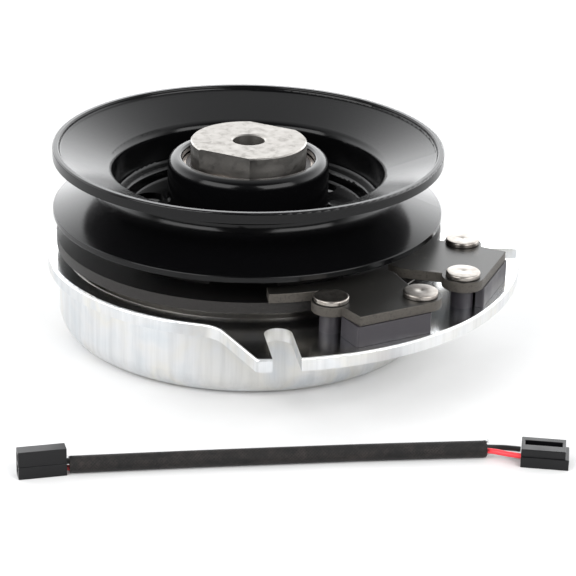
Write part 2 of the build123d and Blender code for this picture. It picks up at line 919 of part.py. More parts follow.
def tube(route, radius, name, bore_r=0):
    """A round tube along straight runs joined by the largest arcs that fit; bore_r makes it hollow."""
    points = [Vector(*p) for p in route]
    radii = []
    for before, here, after in zip(points, points[1:], points[2:]):
        turn = math.radians((here - before).get_angle(after - here))
        run = min((here - before).length, (after - here).length)
        radii.append(0.45 * run / math.tan(turn / 2))
    path = FilletPolyline(*points, radius=radii)
    print(name, "radii", [round(r, 1) for r in radii], "length", round(path.length, 1))
    section = Circle(radius)
    if bore_r:
        section -= Circle(bore_r)
    solid = sweep(Plane(origin=path @ 0, z_dir=path % 0) * section, path=path)
    print(name, "volume over section times length", round(solid.volume / (section.area * path.length), 4))
    return solid


def middle_of_ends(index):
    """The point half way between the two wires at one end of the lead."""
    return (Vector(*red_route[index]) + Vector(*black_route[index])) / 2


def left_plug():
    """The plug on the left, standing on its narrow side, with a ledge along its face and two ways."""
    side = left_plug_depth / 2
    body = block(-plug_length, 0, -side + left_plug_step, side, 0, left_plug_height)
    body += block(-plug_length, 0, -side, side, 0, left_plug_ledge)
    way_height = (left_plug_height - 3 * plug_wall) / 2
    inner = side - plug_wall
    for low in (plug_wall, 2 * plug_wall + way_height):
        body -= block(-plug_length - 1, -2 * plug_wall, left_plug_step - inner, inner, low, low + way_height)
    place = middle_of_ends(0)
    return Pos(place.X, place.Y, 0) * Rot(0, 0, left_plug_angle) * body


def right_plug():
    """The plug on the right, lying flat, with a raised latch rail, its groove and two ways."""
    side = right_plug_depth / 2
    deck = right_plug_height - latch_rise
    body = block(0, plug_length, -side, side, 0, deck)
    body += block(0, plug_length - latch_end, latch_step - side, side, 0, right_plug_height)
    groove_high = side - latch_rail
    groove_low = groove_high - latch_groove
    groove_foot = right_plug_height - latch_depth
    groove_end = plug_length - 2 * latch_end
    body -= block(latch_end, groove_end, groove_low, groove_high, groove_foot, right_plug_height + 1)
    way_width = (right_plug_depth - 3 * plug_wall) / 2
    for low in (plug_wall - side, plug_wall / 2):
        body -= block(2 * plug_wall, plug_length + 1, low, low + way_width, plug_wall, deck - plug_wall)
    place = middle_of_ends(-1)
    return Pos(place.X, place.Y, 0) * Rot(0, 0, right_plug_angle) * body


# --- build


def build_field():
    """Everything that stays still."""
    save("field_shell", field_shell())
    save("field_core", field_core())
    save("coil_bobbin", coil_bobbin())
    save("coil_winding", coil_winding())
    save("coil_potting", coil_potting())
    land_r = field_bearing_r - ring_t
    save("field_bearing_outer_ring", field_bearing_ring(land_r, field_bearing_r))
    save("field_bearing_balls", ball_rows([field_row_z], field_ball_r, field_pitch_r))
    save("field_bearing_seals", bearing_seals(hub_r + ring_t, land_r, bearing_seat_z, field_bearing_w))
    clip = retainer(field_bearing_r - retainer_reach, field_bearing_r + retainer_bite, bearing_seat_z, 90)
    save("field_bearing_retainer", clip)
    save("supply_socket", supply_socket())
    save("supply_blades", Compound(children=[blade(x) for x in blade_places()]))
    for name, side in (("rear", 1), ("front", -1)):
        save(f"brake_pole_plate_{name}", brake_pole_plate(side))
        save(f"brake_magnet_{name}", brake_magnet(side))
    save("brake_spacers", brake_spacers())
    save("brake_rivets", brake_rivets())


def build_rotor():
    """Everything that turns with the engine's shaft."""
    save("rotor", rotor())
    save("friction_lining", friction_lining())
    save("rotor_hub", rotor_hub())
    save("spacer_bushing", spacer_bushing())
    save("field_bearing_inner_ring", field_bearing_ring(hub_r, hub_r + ring_t))
    save("pulley_bearing_inner_ring", pulley_bearing_ring(hub_r, hub_r + ring_t))
    save("hub_retainer", retainer(hub_r - retainer_bite, hub_r + retainer_reach, bearing_seat_z, -90))


def build_pulley():
    """Everything that turns with the belt."""
    save("pulley_body", pulley_body())
    save("pulley_lower_flange", pulley_lower_flange())
    save("bearing_cup", bearing_cup())
    land_r = pulley_bearing_r - ring_t
    save("pulley_bearing_outer_ring", pulley_bearing_ring(land_r, pulley_bearing_r))
    save("pulley_bearing_balls", ball_rows(pulley_rows_z, pulley_ball_r, pulley_pitch_r))
    save("pulley_bearing_seals", bearing_seals(hub_r + ring_t, land_r, bearing_foot_z, pulley_bearing_w))
    clip = retainer(pulley_bearing_r - retainer_reach, pulley_bearing_r + retainer_bite, bearing_foot_z, 90)
    save("pulley_bearing_retainer", clip)
    levels = (web_bottom_z - spring_t, web_top_z)
    save("pulley_spring_rivets", spring_rivets(spring_rivet_r, spring_rivet_angle, levels, True))
    save("leaf_springs", leaf_springs())


def build_armature():
    """The armature and its rivets."""
    save("armature_plate", armature_plate())
    levels = (armature_foot_z + rivet_recess, armature_top_z + spring_t)
    save("armature_rivets", spring_rivets(armature_rivet_r, armature_rivet_angle, levels, False))


def build_lead():
    """The loose adapter lead."""
    save("lead_sleeve", tube(sleeve_route, sleeve_r, "lead_sleeve", sleeve_bore_r))
    save("lead_wire_red", tube(red_route, wire_r, "lead_wire_red"))
    save("lead_wire_black", tube(black_route, wire_r, "lead_wire_black"))
    save("lead_plug_left", left_plug())
    save("lead_plug_right", right_plug())


build_field()
build_rotor()
build_pulley()
build_armature()
build_lead()
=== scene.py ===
import json
import math
import random

import bmesh
import bpy
from mathutils import Matrix, Vector


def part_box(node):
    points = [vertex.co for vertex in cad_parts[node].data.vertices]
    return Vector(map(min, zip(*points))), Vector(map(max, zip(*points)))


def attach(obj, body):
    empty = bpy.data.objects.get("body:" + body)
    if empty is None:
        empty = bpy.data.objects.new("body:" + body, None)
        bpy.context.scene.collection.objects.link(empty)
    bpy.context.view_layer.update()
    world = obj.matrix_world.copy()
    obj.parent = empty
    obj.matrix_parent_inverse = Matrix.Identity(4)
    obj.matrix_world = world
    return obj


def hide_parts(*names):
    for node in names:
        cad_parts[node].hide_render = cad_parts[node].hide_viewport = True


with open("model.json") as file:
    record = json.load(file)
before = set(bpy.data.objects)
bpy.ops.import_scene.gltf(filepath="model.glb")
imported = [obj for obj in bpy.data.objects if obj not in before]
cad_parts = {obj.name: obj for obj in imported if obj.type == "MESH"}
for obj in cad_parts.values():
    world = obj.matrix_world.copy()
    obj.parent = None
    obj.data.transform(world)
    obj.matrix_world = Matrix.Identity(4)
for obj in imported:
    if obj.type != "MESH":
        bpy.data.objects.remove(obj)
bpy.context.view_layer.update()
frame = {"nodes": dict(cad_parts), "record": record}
MM = 0.001

# --- lead routes, the same points as in the part's source, in metres

SLEEVE_R = 2.9 * MM
SLEEVE_BORE_R = 2.1 * MM
WIRE_R = 0.95 * MM
SLEEVE_STEPS = 150
SLEEVE_ROUTE = [
    (-0.0548, -0.1304, 0.0029),
    (-0.020, -0.1249, 0.0029),
    (0.015, -0.1199, 0.0029),
    (0.050, -0.115, 0.0029),
    (0.0846, -0.111, 0.0029),
]
RED_ROUTE = [
    (-0.0561, -0.13045, 0.0017),
    (-0.028, -0.12654, 0.00176),
    (0.0, -0.12275, 0.00193),
    (0.028, -0.11905, 0.00219),
    (0.052, -0.11589, 0.00247),
    (0.068, -0.1141, 0.00269),
    (0.078, -0.11296, 0.00282),
    (0.0845, -0.1122, 0.0029),
    (0.0882, -0.113, 0.00295),
    (0.0922, -0.1148, 0.003),
    (0.0964, -0.1159, 0.003),
]
BLACK_ROUTE = [
    (-0.0561, -0.13048, 0.0041),
    (-0.028, -0.1258, 0.00404),
    (0.0, -0.12133, 0.00387),
    (0.028, -0.11711, 0.00361),
    (0.052, -0.11365, 0.00333),
    (0.068, -0.11174, 0.00311),
    (0.078, -0.11056, 0.003),
    (0.0845, -0.10985, 0.00295),
    (0.0884, -0.1097, 0.00295),
    (0.0924, -0.1099, 0.003),
    (0.0965, -0.1107, 0.003),
]


# --- materials


def srgb(code):
    """An sRGB hex colour as linear RGBA."""
    channels = [int(code[i : i + 2], 16) / 255 for i in (1, 3, 5)]
    return (*[c / 12.92 if c <= 0.04045 else ((c + 0.055) / 1.055) ** 2.4 for c in channels], 1.0)


def add(material, kind, inputs=None, stops=None, **settings):
    """Adds one node. Inputs are values or other nodes' outputs; stops are a ramp's colours."""
    made = material.node_tree.nodes.new(kind)
    for name, value in settings.items():
        setattr(made, name, value)
    for socket, value in (inputs or {}).items():
        if isinstance(value, bpy.types.NodeSocket):
            material.node_tree.links.new(value, made.inputs[socket])
        else:
            made.inputs[socket].default_value = value
    if stops:
        elements = made.color_ramp.elements
        elements[0].position, elements[1].position = stops[0][0], stops[-1][0]
        for position, _ in stops[1:-1]:
            elements.new(position)
        for element, (_, colour) in zip(elements, stops):
            element.color = srgb(colour)
    return made


def start(name, colour, roughness, **shader):
    """A new material with its shader's plain values; returns it, its shader and its coordinates."""
    material = bpy.data.materials.new(name)
    material.use_nodes = True
    principled = material.node_tree.nodes["Principled BSDF"]
    principled.inputs["Base Color"].default_value = srgb(colour)
    principled.inputs["Roughness"].default_value = roughness
    for socket, value in shader.items():
        principled.inputs[socket.replace("_", " ")].default_value = value
    places = add(material, "ShaderNodeTexCoord").outputs
    return material, principled, places


def finish_with(material, principled, colour=None, roughness=None, normal=None):
    """Links what varies over the surface to the shader."""
    for socket, output in (("Base Color", colour), ("Roughness", roughness), ("Normal", normal)):
        if output is not None:
            material.node_tree.links.new(output, principled.inputs[socket])
    return material


def electrocoated_spun_steel():
    """Black electrocoat baked on spun sheet: deep gloss, soft orange peel, faint roller rings."""
    material, shader, places = start(
        "electrocoated_spun_steel", "#070708", 0.16, Specular_IOR_Level=0.22
    )
    peel = add(
        material,
        "ShaderNodeTexNoise",
        {"Vector": places["Object"], "Scale": 1 / (1.6 * MM), "Detail": 2.0, "Roughness": 0.55},
    ).outputs["Fac"]
    wander = add(
        material,
        "ShaderNodeTexNoise",
        {"Vector": places["Object"], "Scale": 1 / (28 * MM), "Detail": 3.0, "Roughness": 0.55},
    ).outputs["Fac"]
    dust = add(
        material,
        "ShaderNodeTexNoise",
        {"Vector": places["Object"], "Scale": 1 / (0.5 * MM), "Detail": 1.0, "Roughness": 0.55},
    ).outputs["Fac"]
    rings = add(
        material,
        "ShaderNodeTexWave",
        {"Vector": places["Object"], "Scale": 0.5 / (1.9 * MM), "Distortion": 0.3, "Detail": 1.0},
        wave_type="RINGS",
        rings_direction="Z",
    )
    relief = add(
        material,
        "ShaderNodeBump",
        {"Height": rings.outputs["Fac"], "Strength": 0.04, "Distance": 0.1 * MM},
    )
    skin = add(
        material,
        "ShaderNodeBump",
        {
            "Height": peel,
            "Strength": 0.04,
            "Distance": 0.1 * MM,
            "Normal": relief.outputs["Normal"],
        },
    )
    gloss = add(
        material,
        "ShaderNodeMapRange",
        {"Value": wander, "From Min": 0.3, "From Max": 0.7, "To Min": 0.14, "To Max": 0.2},
    )
    speck = add(
        material, "ShaderNodeValToRGB", {"Fac": dust}, stops=[(0.7, "#070708"), (0.78, "#161617")]
    )
    return finish_with(
        material, shader, speck.outputs["Color"], gloss.outputs["Result"], skin.outputs["Normal"]
    )


def zinc_plated_steel():
    """Bright zinc plate: pale satin with drawing streaks, glossier rolled faces and painted shade darkening
    its corners.
    """
    material, shader, places = start("zinc_plated_steel", "#DDDFE0", 0.3, Metallic=1.0)
    drawn = add(
        material, "ShaderNodeMapping", {"Vector": places["Object"], "Scale": (1.0, 1.0, 0.05)}
    )
    streaks = add(
        material,
        "ShaderNodeTexNoise",
        {
            "Vector": drawn.outputs["Vector"],
            "Scale": 1 / (3.0 * MM),
            "Detail": 5.0,
            "Roughness": 0.6,
        },
    ).outputs["Fac"]
    cloud = add(
        material,
        "ShaderNodeTexNoise",
        {
            "Vector": places["Object"],
            "Scale": 1 / (24 * MM),
            "Detail": 3.0,
            "Roughness": 0.5,
            "Distortion": 0.6,
        },
    ).outputs["Fac"]
    spangle = add(
        material, "ShaderNodeTexVoronoi", {"Vector": places["Object"], "Scale": 1 / (1.1 * MM)}
    )
    passivate = add(
        material,
        "ShaderNodeValToRGB",
        {"Fac": cloud},
        stops=[(0.32, "#D6DADD"), (0.46, "#DFE0E1"), (0.58, "#E0DFDB"), (0.7, "#D8DBDE")],
    )
    shade = add(
        material,
        "ShaderNodeValToRGB",
        {"Fac": streaks},
        stops=[(0.35, "#F2F2F2"), (0.6, "#FFFFFF")],
    )
    colour = add(
        material,
        "ShaderNodeMix",
        {0: 1.0, 6: passivate.outputs["Color"], 7: shade.outputs["Color"]},
        data_type="RGBA",
        blend_type="MULTIPLY",
    )
    # Painted shade: ambient occlusion within 3 mm darkens the zinc in corners and under overhangs.
    corners = add(
        material, "ShaderNodeAmbientOcclusion", {"Distance": 3 * MM}, samples=8, only_local=True
    )
    painted_corner_shade = add(
        material,
        "ShaderNodeValToRGB",
        {"Fac": corners.outputs["AO"]},
        stops=[(0.35, "#6E6F70"), (0.85, "#FFFFFF")],
    )
    plated = add(
        material,
        "ShaderNodeMix",
        {0: 1.0, 6: colour.outputs[2], 7: painted_corner_shade.outputs["Color"]},
        data_type="RGBA",
        blend_type="MULTIPLY",
    )
    satin = add(
        material,
        "ShaderNodeMapRange",
        {"Value": streaks, "From Min": 0.3, "From Max": 0.7, "To Min": 0.36, "To Max": 0.31},
    )
    facing = add(material, "ShaderNodeSeparateXYZ", {"Vector": places["Normal"]})
    rolled = add(
        material,
        "ShaderNodeMapRange",
        {"Value": facing.outputs["Z"], "From Min": 0.9, "From Max": 0.99},
    )
    rough = add(
        material,
        "ShaderNodeMix",
        {0: rolled.outputs["Result"], 2: satin.outputs["Result"], 3: 0.2},
    )
    relief = add(
        material,
        "ShaderNodeBump",
        {"Height": spangle.outputs["Distance"], "Strength": 0.1, "Distance": 0.05 * MM},
    )
    return finish_with(
        material, shader, plated.outputs[2], rough.outputs[0], relief.outputs["Normal"]
    )


def sheared_dark_steel(name, flat, edge, size):
    """Hot-rolled plate with a dark oxide skin: smooth faces, and rough paler edges from the shear."""
    material, shader, places = start(name, flat, 0.4, Metallic=0.5)
    upright = add(material, "ShaderNodeSeparateXYZ", {"Vector": places["Normal"]})
    flatness = add(material, "ShaderNodeMath", {0: upright.outputs["Z"]}, operation="ABSOLUTE")
    on_face = add(
        material,
        "ShaderNodeMapRange",
        {
            "Value": flatness.outputs[0],
            "From Min": 0.5,
            "From Max": 0.85,
            "To Min": 1.0,
            "To Max": 0.0,
        },
    )
    tears = add(
        material,
        "ShaderNodeTexNoise",
        {"Vector": places["Object"], "Scale": 1 / size, "Detail": 6.0, "Roughness": 0.75},
    ).outputs["Fac"]
    cloud = add(
        material,
        "ShaderNodeTexNoise",
        {
            "Vector": places["Object"],
            "Scale": 1 / (9 * MM),
            "Detail": 4.0,
            "Roughness": 0.6,
            "Distortion": 0.8,
        },
    ).outputs["Fac"]
    pits = add(
        material,
        "ShaderNodeTexNoise",
        {"Vector": places["Object"], "Scale": 1 / (0.45 * MM), "Detail": 3.0, "Roughness": 0.7},
    ).outputs["Fac"]
    skin = add(
        material, "ShaderNodeValToRGB", {"Fac": cloud}, stops=[(0.3, flat), (0.62, flat), (0.8, edge)]
    )
    torn = add(
        material,
        "ShaderNodeValToRGB",
        {"Fac": tears},
        stops=[(0.3, flat), (0.48, edge), (0.66, edge), (0.76, "#8F897F")],
    )
    colour = add(
        material,
        "ShaderNodeMix",
        {0: on_face.outputs["Result"], 6: skin.outputs["Color"], 7: torn.outputs["Color"]},
        data_type="RGBA",
    )
    rough = add(
        material,
        "ShaderNodeMapRange",
        {"Value": on_face.outputs["Result"], "To Min": 0.36, "To Max": 0.55},
    )
    depth = add(
        material,
        "ShaderNodeMapRange",
        {"Value": on_face.outputs["Result"], "To Min": 0.08, "To Max": 0.5},
    )
    coarse = add(
        material,
        "ShaderNodeBump",
        {"Height": tears, "Strength": depth.outputs["Result"], "Distance": 0.25 * MM},
    )
    fine = add(
        material,
        "ShaderNodeBump",
        {
            "Height": pits,
            "Strength": 0.2,
            "Distance": 0.05 * MM,
            "Normal": coarse.outputs["Normal"],
        },
    )
    return finish_with(
        material, shader, colour.outputs[2], rough.outputs["Result"], fine.outputs["Normal"]
    )


def turned_steel(name, colour, dark, spacing):
    """Machined bare steel: rings left by the tool, a mottled surface with an oil film, and faces that look
    straight up made darker.
    """
    material, shader, places = start(name, colour, 0.34, Metallic=1.0)
    rings = add(
        material,
        "ShaderNodeTexWave",
        {"Vector": places["Object"], "Scale": 0.5 / spacing, "Distortion": 0.8, "Detail": 2.0},
        wave_type="RINGS",
        rings_direction="Z",
    )
    mottle = add(
        material,
        "ShaderNodeTexNoise",
        {
            "Vector": places["Object"],
            "Scale": 1 / (3.5 * MM),
            "Detail": 5.0,
            "Roughness": 0.65,
            "Distortion": 0.5,
        },
    ).outputs["Fac"]
    fine = add(
        material,
        "ShaderNodeTexNoise",
        {"Vector": places["Object"], "Scale": 1 / (0.5 * MM), "Detail": 3.0, "Roughness": 0.7},
    ).outputs["Fac"]
    tint = add(
        material,
        "ShaderNodeValToRGB",
        {"Fac": mottle},
        stops=[(0.3, dark), (0.5, colour), (0.75, colour)],
    )
    # Faces that look straight up are made darker than the turned sides.
    facing = add(material, "ShaderNodeSeparateXYZ", {"Vector": places["Normal"]})
    looks_up = add(
        material, "ShaderNodeMapRange", {"Value": facing.outputs["Z"], "From Min": 0.9, "From Max": 0.99}
    )
    darker_upward_faces = add(
        material,
        "ShaderNodeMix",
        {0: looks_up.outputs["Result"], 6: srgb("#FFFFFF"), 7: srgb("#CBC9C6")},
        data_type="RGBA",
    )
    tone = add(
        material,
        "ShaderNodeMix",
        {0: 1.0, 6: tint.outputs["Color"], 7: darker_upward_faces.outputs[2]},
        data_type="RGBA",
        blend_type="MULTIPLY",
    )
    rough = add(
        material,
        "ShaderNodeMapRange",
        {"Value": mottle, "From Min": 0.3, "From Max": 0.7, "To Min": 0.46, "To Max": 0.3},
    )
    relief = add(
        material,
        "ShaderNodeBump",
        {"Height": rings.outputs["Fac"], "Strength": 0.1, "Distance": 0.05 * MM},
    )
    grain = add(
        material,
        "ShaderNodeBump",
        {
            "Height": fine,
            "Strength": 0.2,
            "Distance": 0.04 * MM,
            "Normal": relief.outputs["Normal"],
        },
    )
    return finish_with(
        material, shader, tone.outputs[2], rough.outputs["Result"], grain.outputs["Normal"]
    )


def headed_rivet_steel():
    """Nickel-plated rivet heads: bright warm metal with rings round each rivet's own centre."""
    material, shader, places = start("headed_rivet_steel", "#9C9791", 0.3, Metallic=1.0)
    rings = add(
        material,
        "ShaderNodeTexWave",
        {"Vector": places["UV"], "Scale": 0.5 / (0.8 * MM), "Distortion": 0.5, "Detail": 1.0},
        wave_type="RINGS",
        rings_direction="Z",
    )
    stain = add(
        material,
        "ShaderNodeTexNoise",
        {"Vector": places["Object"], "Scale": 1 / (2.5 * MM), "Detail": 4.0, "Roughness": 0.6},
    ).outputs["Fac"]
    tint = add(
        material, "ShaderNodeValToRGB", {"Fac": stain}, stops=[(0.35, "#857F79"), (0.6, "#A09B95")]
    )
    relief = add(
        material,
        "ShaderNodeBump",
        {"Height": rings.outputs["Fac"], "Strength": 0.14, "Distance": 0.06 * MM},
    )
    return finish_with(material, shader, tint.outputs["Color"], None, relief.outputs["Normal"])


def moulded_plastic(name, colour, roughness, grain_size, shine=0.5):
    """Injection-moulded plastic: even colour, uneven gloss, and a grain drawn coarse enough to show."""
    material, shader, places = start(name, colour, roughness, Specular_IOR_Level=shine)
    grain = add(
        material,
        "ShaderNodeTexNoise",
        {"Vector": places["Object"], "Scale": 1 / grain_size, "Detail": 2.0, "Roughness": 0.55},
    ).outputs["Fac"]
    flow = add(
        material,
        "ShaderNodeTexNoise",
        {"Vector": places["Object"], "Scale": 1 / (8 * MM), "Detail": 3.0, "Roughness": 0.55},
    ).outputs["Fac"]
    rough = add(
        material,
        "ShaderNodeMapRange",
        {
            "Value": flow,
            "From Min": 0.3,
            "From Max": 0.7,
            "To Min": roughness - 0.06,
            "To Max": roughness + 0.08,
        },
    )
    relief = add(
        material, "ShaderNodeBump", {"Height": grain, "Strength": 0.18, "Distance": 0.06 * MM}
    )
    return finish_with(material, shader, None, rough.outputs["Result"], relief.outputs["Normal"])


def blotched(name, colour, other, size, roughness, metallic=0.0):
    """A finish known by its two tones and its grain: ground, blued, cast or rubbed surfaces."""
    material, shader, places = start(name, colour, roughness, Metallic=metallic)
    tone = add(
        material,
        "ShaderNodeTexNoise",
        {"Vector": places["Object"], "Scale": 1 / size, "Detail": 5.0, "Roughness": 0.6},
    ).outputs["Fac"]
    grain = add(
        material,
        "ShaderNodeTexNoise",
        {"Vector": places["Object"], "Scale": 1 / (0.5 * MM), "Detail": 3.0, "Roughness": 0.7},
    ).outputs["Fac"]
    tint = add(material, "ShaderNodeValToRGB", {"Fac": tone}, stops=[(0.35, colour), (0.65, other)])
    relief = add(
        material, "ShaderNodeBump", {"Height": grain, "Strength": 0.2, "Distance": 0.05 * MM}
    )
    return finish_with(material, shader, tint.outputs["Color"], None, relief.outputs["Normal"])


def wound_copper():
    """Enamelled copper wire, wound in layers: rounded turns 0.9 mm apart round the shaft."""
    material, shader, places = start("wound_copper", "#B5622F", 0.3, Metallic=0.9)
    turns = add(
        material,
        "ShaderNodeTexWave",
        {"Vector": places["Object"], "Scale": 0.31 / (0.9 * MM)},
        wave_type="BANDS",
        bands_direction="Z",
    )
    relief = add(
        material,
        "ShaderNodeBump",
        {"Height": turns.outputs["Fac"], "Strength": 0.8, "Distance": 0.3 * MM},
    )
    return finish_with(material, shader, None, None, relief.outputs["Normal"])


def braided_polyester():
    """Black woven sleeving: dull filaments with a soft sheen, dusty brown on its crowns."""
    material, shader, places = start(
        "braided_polyester", "#0C0B0B", 0.75, Sheen_Weight=0.12, Sheen_Roughness=0.4, Specular_IOR_Level=0.3
    )
    crown = add(material, "ShaderNodeAttribute", attribute_name="crown").outputs["Fac"]
    filament = add(
        material,
        "ShaderNodeTexNoise",
        {"Vector": places["Object"], "Scale": 1 / (0.35 * MM), "Detail": 3.0, "Roughness": 0.7},
    ).outputs["Fac"]
    dust = add(
        material,
        "ShaderNodeTexNoise",
        {"Vector": places["Object"], "Scale": 1 / (5 * MM), "Detail": 4.0, "Roughness": 0.7},
    ).outputs["Fac"]
    both = add(material, "ShaderNodeMath", {0: crown, 1: dust}, operation="MULTIPLY")
    tint = add(
        material,
        "ShaderNodeValToRGB",
        {"Fac": both.outputs[0]},
        stops=[(0.1, "#060606"), (0.35, "#121111"), (0.65, "#2B2624")],
    )
    relief = add(
        material, "ShaderNodeBump", {"Height": filament, "Strength": 0.5, "Distance": 0.1 * MM}
    )
    return finish_with(material, shader, tint.outputs["Color"], None, relief.outputs["Normal"])


def pvc_insulation(name, colour):
    """Extruded PVC wire covering: smooth and glossy with long faint flow marks."""
    material, shader, places = start(name, colour, 0.3)
    flow = add(
        material,
        "ShaderNodeTexNoise",
        {"Vector": places["Object"], "Scale": 1 / (2.5 * MM), "Detail": 2.0, "Roughness": 0.55},
    ).outputs["Fac"]
    relief = add(
        material, "ShaderNodeBump", {"Height": flow, "Strength": 0.15, "Distance": 0.1 * MM}
    )
    return finish_with(material, shader, None, None, relief.outputs["Normal"])


def backdrop_paper():
    """A smooth pale paper sweep with the faintest fibre."""
    material, shader, places = start("backdrop_paper", "#DADADA", 0.85)
    fibre = add(
        material,
        "ShaderNodeTexNoise",
        {"Vector": places["Object"], "Scale": 1 / (25 * MM), "Detail": 3.0, "Roughness": 0.55},
    ).outputs["Fac"]
    tint = add(
        material, "ShaderNodeValToRGB", {"Fac": fibre}, stops=[(0.3, "#D9D9D9"), (0.7, "#DCDCDC")]
    )
    return finish_with(material, shader, tint.outputs["Color"])


# --- camera, floor and light


def make_camera():
    """A long lens that looks down on the pulley's rim, a little to the right of the shaft."""
    tilt, roll, distance = math.radians(22.8), math.radians(1.49), 0.85
    data = bpy.data.cameras.new("camera")
    data.lens, data.sensor_width = 142.4, 36.0
    data.clip_start, data.clip_end = 0.05, 20.0
    camera = bpy.data.objects.new("camera", data)
    bpy.context.scene.collection.objects.link(camera)
    turn = Matrix.Rotation(math.pi / 2 - tilt, 4, "X") @ Matrix.Rotation(roll, 4, "Z")
    rim_centre = Vector((0, 0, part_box("pulley_body")[1].z))
    aside = turn.to_3x3() @ Vector((0.01465, -0.05384, distance))
    camera.matrix_world = Matrix.Translation(rim_centre + aside) @ turn
    bpy.context.scene.camera = camera


def softbox(name, place, aim, size, watts):
    """A rectangular studio light that faces a point."""
    data = bpy.data.lights.new(name, "AREA")
    data.shape, data.size, data.size_y, data.energy = "RECTANGLE", size[0], size[1], watts
    light = bpy.data.objects.new(name, data)
    light.location = place
    light.rotation_euler = (Vector(aim) - Vector(place)).to_track_quat("-Z", "Y").to_euler()
    bpy.context.scene.collection.objects.link(light)


def make_surround():
    """What the studio reflects: a bright backdrop low behind, dimmer overhead, a dark room in front."""
    world = bpy.data.worlds.new("surround")
    world.use_nodes = True
    low_light, high_light, front_light = 3.7, 0.95, 0.12
    sky = add(world, "ShaderNodeTexCoord").outputs["Generated"]
    facing = add(world, "ShaderNodeSeparateXYZ", {"Vector": sky})
    behind = add(
        world,
        "ShaderNodeMapRange",
        {"Value": facing.outputs["Y"], "From Min": -0.35, "From Max": 0.25},
        interpolation_type="SMOOTHSTEP",
    )
    low = add(
        world,
        "ShaderNodeMapRange",
        {
            "Value": facing.outputs["Z"],
            "From Min": 0.3,
            "From Max": 0.85,
            "To Min": low_light,
            "To Max": high_light,
        },
        interpolation_type="SMOOTHSTEP",
    )
    strength = add(
        world,
        "ShaderNodeMix",
        {0: behind.outputs["Result"], 2: front_light, 3: low.outputs["Result"]},
    )
    background = world.node_tree.nodes["Background"]
    background.inputs["Color"].default_value = srgb("#FAFBFC")
    world.node_tree.links.new(strength.outputs[0], background.inputs["Strength"])
    bpy.context.scene.world = world


def make_studio():
    """A pale floor, a surround, and a softbox high on each side of the camera."""
    bpy.context.scene.view_settings.view_transform = "Standard"
    make_surround()
    aim, size, watts = (0, 0, 0.05), (0.95, 0.8), 12
    softbox("left_key", (-0.7, -0.7, 0.6), aim, size, watts)
    softbox("right_key", (0.7, -0.7, 0.6), aim, size, watts)
    floor_work = bmesh.new()
    bmesh.ops.create_grid(floor_work, x_segments=1, y_segments=1, size=3)
    bmesh.ops.translate(floor_work, verts=floor_work.verts, vec=(0, 0, -0.02 * MM))
    to_object(floor_work, "floor", [backdrop_paper()], smooth=False)


# --- meshes

SAME_PLACE = 1e-6
EASED_ANGLE = 40
SPIN_STEPS = 72


def to_object(work, name, materials, smooth=True, crease=38):
    """Turns a bmesh into a shown object at the origin; edges over the crease angle stay sharp."""
    for face in work.faces:
        face.smooth = smooth
    for edge in work.edges:
        edge.smooth = edge.calc_face_angle(0) < math.radians(crease)
    mesh = bpy.data.meshes.new(name)
    work.to_mesh(mesh)
    work.free()
    for material in materials:
        mesh.materials.append(material)
    made = bpy.data.objects.new(name, mesh)
    bpy.context.scene.collection.objects.link(made)
    return made


def keep_flats_flat(piece):
    """Weights a piece's normals by area, so that rounded edges shade smoothly into flat faces."""
    modifier = piece.modifiers.new("flat_faces", "WEIGHTED_NORMAL")
    modifier.keep_sharp = True
    modifier.weight = 100
    return piece


def merged(node):
    """A bmesh copy of a CAD piece with its triangles joined up and its flat faces whole."""
    work = bmesh.new()
    work.from_mesh(frame["nodes"][node].data)
    bmesh.ops.remove_doubles(work, verts=work.verts, dist=SAME_PLACE)
    bmesh.ops.dissolve_limit(
        work, angle_limit=math.radians(0.5), verts=work.verts, edges=work.edges
    )
    return work


def eased_copy(node, name, body, material, radius):
    """Stands for a CAD piece: the same shape with its sharp edges eased, as tumbling leaves them."""
    work = merged(node)
    sharp = [e for e in work.edges if e.calc_face_angle(0) > math.radians(EASED_ANGLE)]
    bmesh.ops.bevel(
        work,
        geom=sharp,
        offset=radius,
        offset_type="OFFSET",
        segments=3,
        profile=0.5,
        affect="EDGES",
        material=-1,
        clamp_overlap=True,
    )
    piece = keep_flats_flat(to_object(work, name, [material]))
    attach(piece, body)
    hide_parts(node)
    return piece


def solids_of(node):
    """The lowest and highest corner of each separate solid in a CAD node."""
    work = bmesh.new()
    work.from_mesh(frame["nodes"][node].data)
    bmesh.ops.remove_doubles(work, verts=work.verts, dist=SAME_PLACE)
    seen, found = set(), []
    for first in work.verts:
        if first in seen:
            continue
        group, todo = [], [first]
        seen.add(first)
        while todo:
            here = todo.pop()
            group.append(here.co.copy())
            for edge in here.link_edges:
                other = edge.other_vert(here)
                if other not in seen:
                    seen.add(other)
                    todo.append(other)
        low = Vector([min(p[i] for p in group) for i in range(3)])
        high = Vector([max(p[i] for p in group) for i in range(3)])
        found.append((low, high))
    work.free()
    return found


def spun(work, outline, centre):
    """Turns (radius, height) points round an upright axis and adds the closed shape to a bmesh."""
    ring = [work.verts.new((centre[0] + r, centre[1], z)) for r, z in outline]
    chain = [work.edges.new(pair) for pair in zip(ring, ring[1:])]
    bmesh.ops.spin(
        work,
        geom=ring + chain,
        axis=(0, 0, 1),
        cent=(centre[0], centre[1], 0),
        angle=2 * math.pi,
        steps=SPIN_STEPS,
        use_merge=True,
    )


# --- brake rivets

HEAD_HEIGHT = 1.9 * MM
HEAD_CHAMFER = 0.25 * MM
RIM_ROUND = 0.6 * MM
RIM_FALL = 0.08 * MM
RIM_STEPS = 7
TAIL_HEIGHT = 1.5 * MM
TAIL_CHAMFER = 0.5 * MM
DIMPLE_DEPTH = 0.16 * MM


